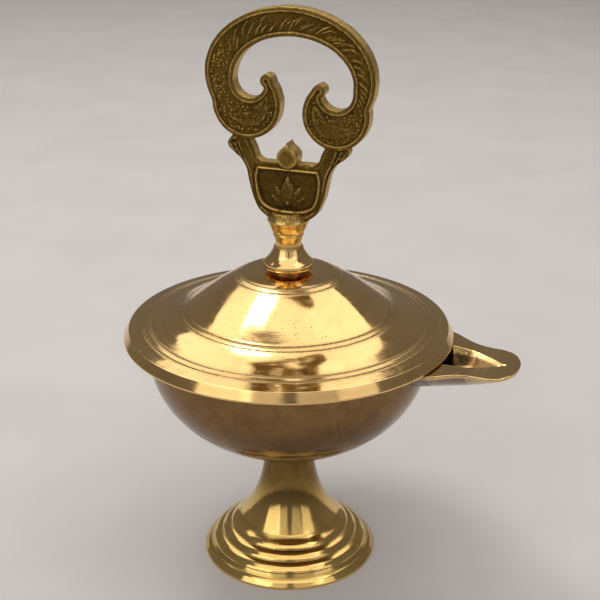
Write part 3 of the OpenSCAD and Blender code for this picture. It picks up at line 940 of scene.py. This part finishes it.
# slanting leaf strokes in loose clusters along the band
where_t = 142.0
while where_t > -24:
    for _ in range(int(rng.integers(3, 6))):
        t = math.radians(where_t)
        outer_p = RING_C + [RING_A * math.cos(t), RING_B * math.sin(t)]
        inner_p = INNER_C + [INNER_A * math.cos(t), INNER_B * math.sin(t)]
        width = np.linalg.norm(outer_p - inner_p)
        out = (outer_p - inner_p) / width
        run = np.array([out[1], -out[0]])
        lean = math.radians(rng.uniform(26, 44))
        half_len = min((width / 2 - 1.3) / math.sin(lean), 2.6) * rng.uniform(0.6, 1.0)
        slack = max(0.0, width / 2 - 1.3 - half_len * math.sin(lean))
        mid = (outer_p + inner_p) / 2 + out * rng.uniform(-slack, slack)
        tilt = math.radians(rng.uniform(6, 16))
        low_way = run * math.cos(lean + tilt) + out * math.sin(lean + tilt)
        high_way = run * math.cos(lean - tilt) + out * math.sin(lean - tilt)
        leaf = stroke_in(mid - low_way * half_len, mid, 0.1, 0.3)
        leaf = np.maximum(leaf, stroke_in(mid, mid + high_way * half_len, 0.3, 0.08))
        ornament = np.maximum(ornament, dome(leaf, 0.3, rng.uniform(0.12, 0.26)))
        where_t -= rng.uniform(2.4, 3.6)
    where_t -= rng.uniform(1.5, 4.5)

# stippled ground elsewhere
du, dw = U - RING_C[0], (W - RING_C[1]) * RING_A / RING_B
bearing = np.degrees(np.arctan2(dw, du))
DOTS_U, DOTS_W, PITCH = 70, 84, 0.86
spots = rng.uniform(-0.28, 0.28, (DOTS_U, DOTS_W, 2))
sizes = rng.uniform(0.16, 0.34, (DOTS_U, DOTS_W))


def stipple():
    """Small punched dots on a staggered, uneven lattice, with some left out."""
    best = np.zeros(U.shape)
    gx = np.floor((U + 26) / PITCH).astype(int)
    gy = np.floor((W - JOINT) / PITCH).astype(int)
    for ox in (-1, 0, 1):
        for oy in (-1, 0, 1):
            i, j = np.clip(gx + ox, 0, DOTS_U - 1), np.clip(gy + oy, 0, DOTS_W - 1)
            cx = (i + 0.5 + 0.25 * (j % 2)) * PITCH - 26 + spots[i, j, 0]
            cy = (j + 0.5) * PITCH + JOINT + spots[i, j, 1]
            dot = dome(circle_in((cx, cy), sizes[i, j]), 0.24, 0.2)
            best = np.maximum(best, dot * (sizes[i, j] > 0.22))
    return best


dots = stipple()
left_side = rise(np.abs(bearing), 138, 146)
low_right = rise(-bearing, 16, 24) * (bearing < 0)
in_lobes = np.zeros(U.shape)

# a pointed leaf with veins in each rolled end, and stipple round it
for c, r, side in LOBES:
    base = c + [-side * 5.6, 1.6]
    bend = c + [-side * 2.6, -3.7]
    tip = c + [side * 4.6, -3.6]
    leaf = np.full(U.shape, -9.0)
    spine = smooth([base, bend, tip], 0.5)
    for q in range(len(spine) - 1):
        f = (q + 0.5) / len(spine)
        w0 = 2.0 * math.sin(math.pi * min(1, f * 0.95 + 0.06)) ** 0.8
        leaf = np.maximum(leaf, circle_in(spine[q], w0))
    body = dome(leaf, 0.5, 0.3)
    veins = np.full(U.shape, -9.0)
    for q in range(2, len(spine) - 3, 3):
        p, ahead = spine[q], spine[q + 1] - spine[q]
        ahead = ahead / np.linalg.norm(ahead)
        out = np.array([-ahead[1], ahead[0]])
        for flank in (-1, 1):
            vein = stroke_in(p, p + ahead * 1.3 + out * flank * 1.35, 0.15, 0.08)
            veins = np.maximum(veins, vein)
    for q in range(len(spine) - 1):
        veins = np.maximum(veins, stroke_in(spine[q], spine[q + 1], 0.17, 0.17))
    body = body - dome(veins, 0.16, 0.2) * (leaf > 0.1)
    ornament = np.where(leaf > 0, body, ornament)
    near = rise(circle_in(c, r - 0.3), -1.5, 0.5) * (leaf < -0.2)
    in_lobes = np.maximum(in_lobes, near)
dotted = np.clip(left_side + low_right + in_lobes, 0, 1)
ornament = np.maximum(ornament, dots * dotted * (ornament <= 0))
h_ring = h_ring + ornament * room * worn

# plaque: raised border, sunk field with a lotus bud, ears with a small veined leaf
PLAQUE_DROP = 0.25
h_plaque = -PLAQUE_DROP - cast_edge(d_plaque)
border = 1.0 - rise(np.abs(field_in), 0.0, 0.42)
h_plaque = h_plaque + 0.24 * border - 0.55 * rise(field_in, 0.12, 0.5)
h_plaque = h_plaque - 0.14 * rise(0.3 - np.abs(field_in + 0.85), 0, 0.25) * (d_plaque > 0.8)
h_plaque = h_plaque + 0.1 * rise(0.22 - np.abs(d_plaque - 0.95), 0, 0.2) * (np.abs(field_in) > 0.6)


def petal_in(origin, lean, wide, high):
    """Distance inside a pointed petal standing on the origin."""
    t = math.radians(lean)
    x = (U - origin[0]) * math.cos(t) + (W - origin[1]) * math.sin(t)
    y = -(U - origin[0]) * math.sin(t) + (W - origin[1]) * math.cos(t)
    k = np.clip(y / high, 0, 1)
    width = wide * np.sin(math.pi * k**0.75) ** 0.9
    return np.where((y > 0) & (y < high), width - np.abs(x), -1.0) * 0.9


bud_at = (MID, JOINT + 11.6)
outer_petals = [(lean, 1.2, 5.6, 0.34) for lean in (62, -62)]
side_petals = [(lean, 1.5, 6.6, 0.42) for lean in (34, -34)]
for lean, wide, high, tall in outer_petals + side_petals + [(0, 2.0, 8.2, 0.55)]:
    petal = petal_in(bud_at, lean, wide, high)
    fold = 0.12 * dome(0.14 - np.abs(petal - 0.55), 0.14, 1.0)
    raised = -PLAQUE_DROP - 0.55 + dome(petal, 0.8, tall) - fold
    h_plaque = np.where(petal > 0, np.maximum(h_plaque, raised), h_plaque)
field_ground = rise(field_in, 0.7, 1.0) * (h_plaque < -PLAQUE_DROP - 0.5)
h_plaque = h_plaque + 0.45 * dots * field_ground
for side in (-1, 1):
    a, b = np.array([MID + side * 10.6, JOINT + 19.5]), np.array([MID + side * 14.9, JOINT + 27.6])
    cut = stroke_in(a, b, 0.3, 1.15)
    vein = stroke_in(a, b, 0.13, 0.13)
    e = (b - a) / np.linalg.norm(b - a)
    n = np.array([-e[1], e[0]])
    for k in (0.35, 0.55, 0.75, 0.92):
        p = a + (b - a) * k
        for flank in (-1, 1):
            vein = np.maximum(vein, stroke_in(p, p + e * 0.7 + n * flank * 0.8, 0.11, 0.09))
    h_plaque = h_plaque - 0.28 * rise(cut, 0.0, 0.25) + 0.22 * rise(vein, -0.02, 0.1) * (cut > 0)

h_bead = 0.32 - 0.9 * cast_edge(d_bead) - 0.12 * rise(0.9 - d_bead, 0, 0.5)

surface = np.full(U.shape, -ROUND - PLAQUE_DROP)
for field, h in ((ring_in, h_ring), (plaque_in, h_plaque), (bead_in, h_bead)):
    surface = np.where(field > 0, np.maximum(surface, h), surface)
skin = 0.045 * lattice_noise(1.3, 8) + 0.03 * lattice_noise(0.5, 9)
surface = surface + skin * rise(shape_in, 0.2, 0.8)


def blurred(a, cells):
    """A Gaussian blur over the plate's grid."""
    out = a.copy()
    for axis in (0, 1):
        acc, total = np.zeros_like(out), 0.0
        for k in range(-2 * cells, 2 * cells + 1):
            share = math.exp(-(k * k) / (2 * cells * cells))
            acc += np.roll(out, k, axis) * share
            total += share
        out = acc / total
    return out


# wear from the relief itself: high and convex places are rubbed bright, low and hollow ones hold the wash
filled = np.where(shape_in > 0, surface, -0.3)
bulge = filled - blurred(filled, 3)
rub = np.clip(rise(bulge, 0.03, 0.16) * 0.8 + rise(surface, -0.2, 0.2) * 0.1, 0, 1)
sunk = rise(-surface, 0.15, 0.5) * 0.5 * (shape_in > 0.8)
wash = np.clip(rise(-bulge, 0.0, 0.08) * 0.85 + sunk, 0, 1)


def plate():
    """The finial's plate: its relief on both faces, joined round the outline."""
    inside = shape_in > 0
    total = int(inside.sum())
    index = -np.ones(U.shape, int)
    index[inside] = np.arange(total)
    pts = [np.stack([U[inside], W[inside]], 1)]
    heights, rubs, washes = [surface[inside]], [rub[inside]], [wash[inside]]
    cross = {}
    for axis, i, j, t in crossings(shape_in):
        pts.append(on_grid_line(axis, i, j, np.clip(t, 0.12, 0.88)))
        low = np.maximum(plaque_in, bead_in)[i, j] > ring_in[i, j]
        heights.append(np.where(low, -ROUND - PLAQUE_DROP, -ROUND))
        rubs.append(np.full(len(i), 0.6))
        washes.append(np.zeros(len(i)))
        for k, (x, y) in enumerate(zip(i.tolist(), j.tolist())):
            cross[(axis, x, y)] = total + k
        total += len(i)
    p, h, r, w = (np.concatenate(rows) for rows in (pts, heights, rubs, washes))

    cells = [inside[:-1, :-1], inside[1:, :-1], inside[1:, 1:], inside[:-1, 1:]]
    full = np.logical_and.reduce(cells)
    part = np.logical_or.reduce(cells) & ~full
    i, j = np.nonzero(full)
    quads = np.stack([index[i, j], index[i + 1, j], index[i + 1, j + 1], index[i, j + 1]], 1)
    faces, rim = [tuple(q) for q in quads.tolist()], []
    for x, y in zip(*np.nonzero(part)):
        corners = [(x, y), (x + 1, y), (x + 1, y + 1), (x, y + 1)]
        sides = [(0, x, y), (1, x + 1, y), (0, x, y + 1), (1, x, y)]
        loop, marks = [], []
        for corner, side in zip(corners, sides):
            if inside[corner]:
                loop.append(int(index[corner]))
                marks.append(False)
            if side in cross:
                loop.append(cross[side])
                marks.append(True)
        faces.append(tuple(loop))
        # a stretch between two crossings is outline
        for k in range(len(loop)):
            m = (k + 1) % len(loop)
            if marks[k] and marks[m]:
                rim.append((loop[k], loop[m]))

    n = len(p)
    verts = [np.stack([p[:, 0], side * (HALF_T + h), p[:, 1]], 1) for side in (-1, 1)]
    faces += [tuple(k + n for k in f[::-1]) for f in faces]
    on_rim = sorted({k for e in rim for k in e})
    where = {k: q for q, k in enumerate(on_rim)}
    grad_u, grad_w = np.gradient(shape_in, GRID)
    gi = np.clip(np.round((p[on_rim, 0] - us[0]) / GRID).astype(int), 0, len(us) - 1)
    gj = np.clip(np.round((p[on_rim, 1] - ws[0]) / GRID).astype(int), 0, len(ws) - 1)
    g = np.stack([grad_u[gi, gj], grad_w[gi, gj]], 1)
    g /= np.maximum(np.linalg.norm(g, axis=1), 1e-6)[:, None]
    m = len(on_rim)
    for level, swell in ((-0.62, 0.01), (0.0, 0.02), (0.62, 0.01)):
        q = p[on_rim] - g * swell
        y = level * (HALF_T - ROUND) / 0.9
        verts.append(np.stack([q[:, 0], np.full(m, y), q[:, 1]], 1))
    for a, b in rim:
        chain_a, chain_b = ([k] + [2 * n + q * m + where[k] for q in range(3)] + [k + n] for k in (a, b))
        for k in range(4):
            faces.append((chain_b[k], chain_a[k], chain_a[k + 1], chain_b[k + 1]))
    # partly edge wear, partly painted highlight: the plate's side walls are made lighter the more they
    # face up, standing for light from above
    wall_rub_and_top_light = np.clip(0.8 - 0.4 * g[:, 1], 0.3, 1.0)
    edge = np.concatenate([r, r] + [wall_rub_and_top_light] * 3)
    crevice = np.concatenate([w, w, np.zeros(3 * m)])
    return np.concatenate(verts).tolist(), faces, {"edge": edge, "crevice": crevice}


def stem():
    """The cup and neck below the plate, turned bright, with a rough cast crown on top."""
    neck = [(3.45, 0.45), (3.5, 1.3), (3.85, 2.4), (4.15, 3.1)]
    cup = [(4.45, 4.35), (5.02, 5.5), (5.6, 6.9)]
    crown = [(5.86, 7.4, 0.35), (5.36, 8.5, 0.3), (4.95, 9.3, 0.3), (4.4, 9.72, 0.3)]
    profile = (
        lifted([(0, 0), (3.62, 0, 0.12)], JOINT)
        + smooth(lifted(neck, JOINT), 0.3)
        + lifted([(4.24, 3.35, 0.15), (4.05, 3.8, 0.15)], JOINT)
        + smooth(lifted(cup, JOINT), 0.3)
        + lifted(crown + [(2.5, 9.85), (0, 9.85)], JOINT)
    )
    verts, faces, wear = revolve(rounded(profile), 144)
    v = np.array(verts)
    height = v[:, 2] - JOINT
    rough = rise(height, 8.0, 8.6)
    turn, radius = np.arctan2(v[:, 1], v[:, 0]), np.hypot(v[:, 0], v[:, 1])
    pitting = np.sin(turn * 23 + height * 5) * np.sin(turn * 11 - height * 7)
    pitting += 0.6 * np.sin(turn * 41 + 1.3) * np.sin(height * 13)
    share = np.clip(radius, 0, 5) / np.maximum(radius, 1e-6) / 5 * (radius > 3)
    v[:, :2] *= (1 - rough * (0.05 + 0.035 * pitting) * share)[:, None]
    joint_grime = np.exp(-((height / 0.6) ** 2)) + 0.8 * np.exp(-(((height - 3.8) / 0.22) ** 2))
    pits = rough * np.clip(-0.7 * pitting, 0, 1)
    wear["polish"] = 1 - rough
    wear["edge"] = np.clip(np.array(wear["edge"]) + rough * (0.3 + 0.3 * pitting), 0, 1)
    wear["crevice"] = np.clip(np.array(wear["crevice"]) + pits + joint_grime, 0, 1)
    return v.tolist(), faces, wear


def threaded(radius, pitch, z0, z1):
    """A threaded rod between two heights, chamfered at both ends, crests at the given radius."""
    segs, depth = 48, 0.55 * pitch
    n = max(6, round((z1 - z0) / pitch * 7))
    turn = circle(segs)
    verts, edge, crevice = [], [], []
    for z in np.linspace(z0, z1, n):
        phase = (z / pitch - turn / (2 * math.pi)) % 1.0
        low = rise(np.abs(phase * 2 - 1), 0.12, 0.88)
        end = min(z - z0, z1 - z)
        r = np.minimum(radius - depth * low, radius - depth * 1.05 + end)
        verts += list(zip(r * np.cos(turn), r * np.sin(turn), [z] * segs))
        edge += list(1 - rise(low, 0.0, 0.35))
        crevice += list(rise(low, 0.6, 1.0))
    return verts, joined(n, segs) + end_caps(n, segs), {"edge": edge, "crevice": crevice}


tail = threaded(2.0, 0.7, bottom_of("finial"), JOINT + 0.5)
tail[2]["polish"] = [0.6] * len(tail[0])
finial = put_mesh("finial_cast", *merged([plate(), stem(), tail]), sharp=50)
finish_piece(finial, "lid_group", "finial", mat_cast)


# ---------------------------------------------------------------- fasteners


def hex_nut(name, body, node, across, bore):
    """A hexagonal nut with turned chamfers and a countersunk thread."""
    z0, z1 = bottom_of(node), top_of(node)
    segs = 96
    turn = circle(segs)
    flat = (across / 2) / np.cos(np.mod(turn, math.pi / 3) - math.pi / 6)
    rc = across / 2 - 0.2
    drop = (flat - rc) / (across / math.sqrt(3) - rc) * 0.6
    # radius, height, edge wear and grime of each ring, from the thread's mouth outwards and round
    rows = [
        (bore + 0.3, z0, 0.2, 0.2), (rc, z0, 0.5, 0.0), (flat, z0 + drop, 0.7, 0.0),
        (flat, z1 - drop, 0.7, 0.0), (rc, z1, 0.5, 0.0), (bore + 0.3, z1, 0.2, 0.2),
        (bore, z1 - 0.3, 0.0, 0.8), (bore, z0 + 0.3, 0.0, 0.8),
    ]
    even = np.ones(segs)
    verts = [v for r, z, *_ in rows for v in zip(r * np.cos(turn), r * np.sin(turn), z * even)]
    faces = joined(len(rows), segs, closed=True)
    edge = [row[2] for row in rows for _ in turn]
    crevice = [row[3] for row in rows for _ in turn]
    obj = put_mesh(name, verts, faces, {"edge": edge, "crevice": crevice}, sharp=20)
    m = obj.modifiers.new("edges", "BEVEL")
    m.width = 0.07 * MM
    m.segments = 2
    m.limit_method = "ANGLE"
    m.angle_limit = math.radians(22)
    even_shading(obj)
    finish_piece(obj, body, node, mat_thread)


def washer(name, body, node, r, bore):
    """A stamped flat washer: rolled upper edge, sharper lower one."""
    z0, z1 = bottom_of(node), top_of(node)
    corners = [(bore, z0, 0.08), (r, z0, 0.1), (r, z1, 0.25), (bore, z1, 0.2)]
    obj = lathe(name, rounded(corners), segs=128, closed=True)
    even_shading(obj)
    finish_piece(obj, body, node, mat_steel)


stud_rod = threaded(2.5, 0.8, bottom_of("foot_stud"), top_of("foot_stud"))
stud = put_mesh("foot_stud_threaded", *stud_rod, sharp=60)
finish_piece(stud, "base", "foot_stud", mat_thread)
hex_nut("foot_nut_hex", "base", "foot_nut", 8.0, STUD_R)
washer("foot_washer_flat", "base", "foot_washer", 5.5, STUD_HOLE)
hex_nut("lid_nut_hex", "lid_group", "lid_nut", 7.0, 2.02)
washer("lid_washer_flat", "lid_carrier", "lid_washer", 4.5, 2.05)


# ---------------------------------------------------------------- stage, light, camera

CAMERA_TURN = math.radians(20.0)


def stage_floor():
    """A pale matt floor that can't be seen from below."""
    g = Graph("pale_floor")
    speck = g.noise(g.mm, 0.02, 3.0, 0.5)
    tone = g.mix(g.span(speck, 0.3, 0.7), (0.56, 0.54, 0.53), (0.59, 0.57, 0.56))
    g.link(tone, g.shader.inputs["Base Color"])
    g.shader.inputs["Roughness"].default_value = 0.85
    g.shader.inputs["Specular IOR Level"].default_value = 0.2
    from_below = g.node("ShaderNodeNewGeometry", "Backfacing")
    clear = g.node("ShaderNodeBsdfTransparent", 0)
    both = g.node("ShaderNodeMixShader", 0, {0: from_below, 1: g.shader.outputs[0], 2: clear})
    out = next(n for n in g.tree.nodes if n.type == "OUTPUT_MATERIAL")
    g.link(both, out.inputs["Surface"])
    bm = bmesh.new()
    bmesh.ops.create_grid(bm, x_segments=4, y_segments=4, size=3.0)
    mesh = bpy.data.meshes.new("floor")
    bm.to_mesh(mesh)
    bm.free()
    mesh.materials.append(g.material)
    floor = bpy.data.objects.new("floor", mesh)
    floor.location.z = -0.00002
    bpy.context.scene.collection.objects.link(floor)


stage_floor()


def from_camera(side, back, up):
    """A place given as the camera sees it: to its right, behind the lamp, and above the table."""
    c, s = math.cos(CAMERA_TURN), math.sin(CAMERA_TURN)
    return (side * c - back * s, side * s + back * c, up)


def softbox(name, place, target, size, radiance, colour=(1.0, 0.965, 0.92)):
    """A rectangular light of a given brightness per area, aimed at a target."""
    data = bpy.data.lights.new(name, "AREA")
    data.shape = "RECTANGLE"
    data.size, data.size_y = size
    data.energy = radiance * math.pi * size[0] * size[1]
    data.color = colour
    obj = bpy.data.objects.new(name, data)
    obj.location = from_camera(*place)
    aim = Vector(from_camera(*target)) - obj.location
    obj.rotation_euler = aim.to_track_quat("-Z", "Y").to_euler()
    bpy.context.scene.collection.objects.link(obj)


softbox("overhead", (0.0, 0.42, 0.95), (0.0, 0.4201, 0.0), (1.85, 1.1), 1.4)
softbox("window", (-0.28, 0.16, 0.90), (-0.1, 0.05, 0.08), (0.30, 0.24), 8.0, (1.0, 0.985, 0.965))
softbox("front_top", (0.0, -0.50, 0.88), (0.0, 0.0, 0.04), (1.5, 0.5), 1.15)
softbox("front_left", (-0.85, -0.80, 0.66), (0.0, 0.0, 0.06), (0.8, 0.75), 1.25)
softbox("front_right", (0.85, -0.75, 0.62), (0.0, 0.0, 0.06), (0.55, 0.65), 0.8)
softbox("fill_left", (-0.41, -1.15, 0.76), (0.0, 0.0, 0.06), (0.60, 0.8), 0.55)
softbox("fill_right", (0.41, -1.15, 0.76), (0.0, 0.0, 0.06), (0.56, 0.8), 0.42)

world = bpy.data.worlds.new("studio")
bpy.context.scene.world = world
world.use_nodes = True
background = world.node_tree.nodes["Background"]
background.inputs["Color"].default_value = (0.42, 0.39, 0.38, 1.0)
background.inputs["Strength"].default_value = 0.42
bpy.context.scene.view_settings.view_transform = "Standard"

camera = bpy.data.cameras.new("camera")
camera.lens = 75.0
camera.sensor_width = 36.0
camera.clip_start, camera.clip_end = 0.01, 20.0
eye = bpy.data.objects.new("camera", camera)
eye.location = (0.3185 * math.sin(CAMERA_TURN), -0.3185 * math.cos(CAMERA_TURN), 0.2075)
eye.rotation_euler = (math.radians(90 - 22.18), 0.0, math.radians(20.0 - 0.56))
bpy.context.scene.collection.objects.link(eye)
bpy.context.scene.camera = eye
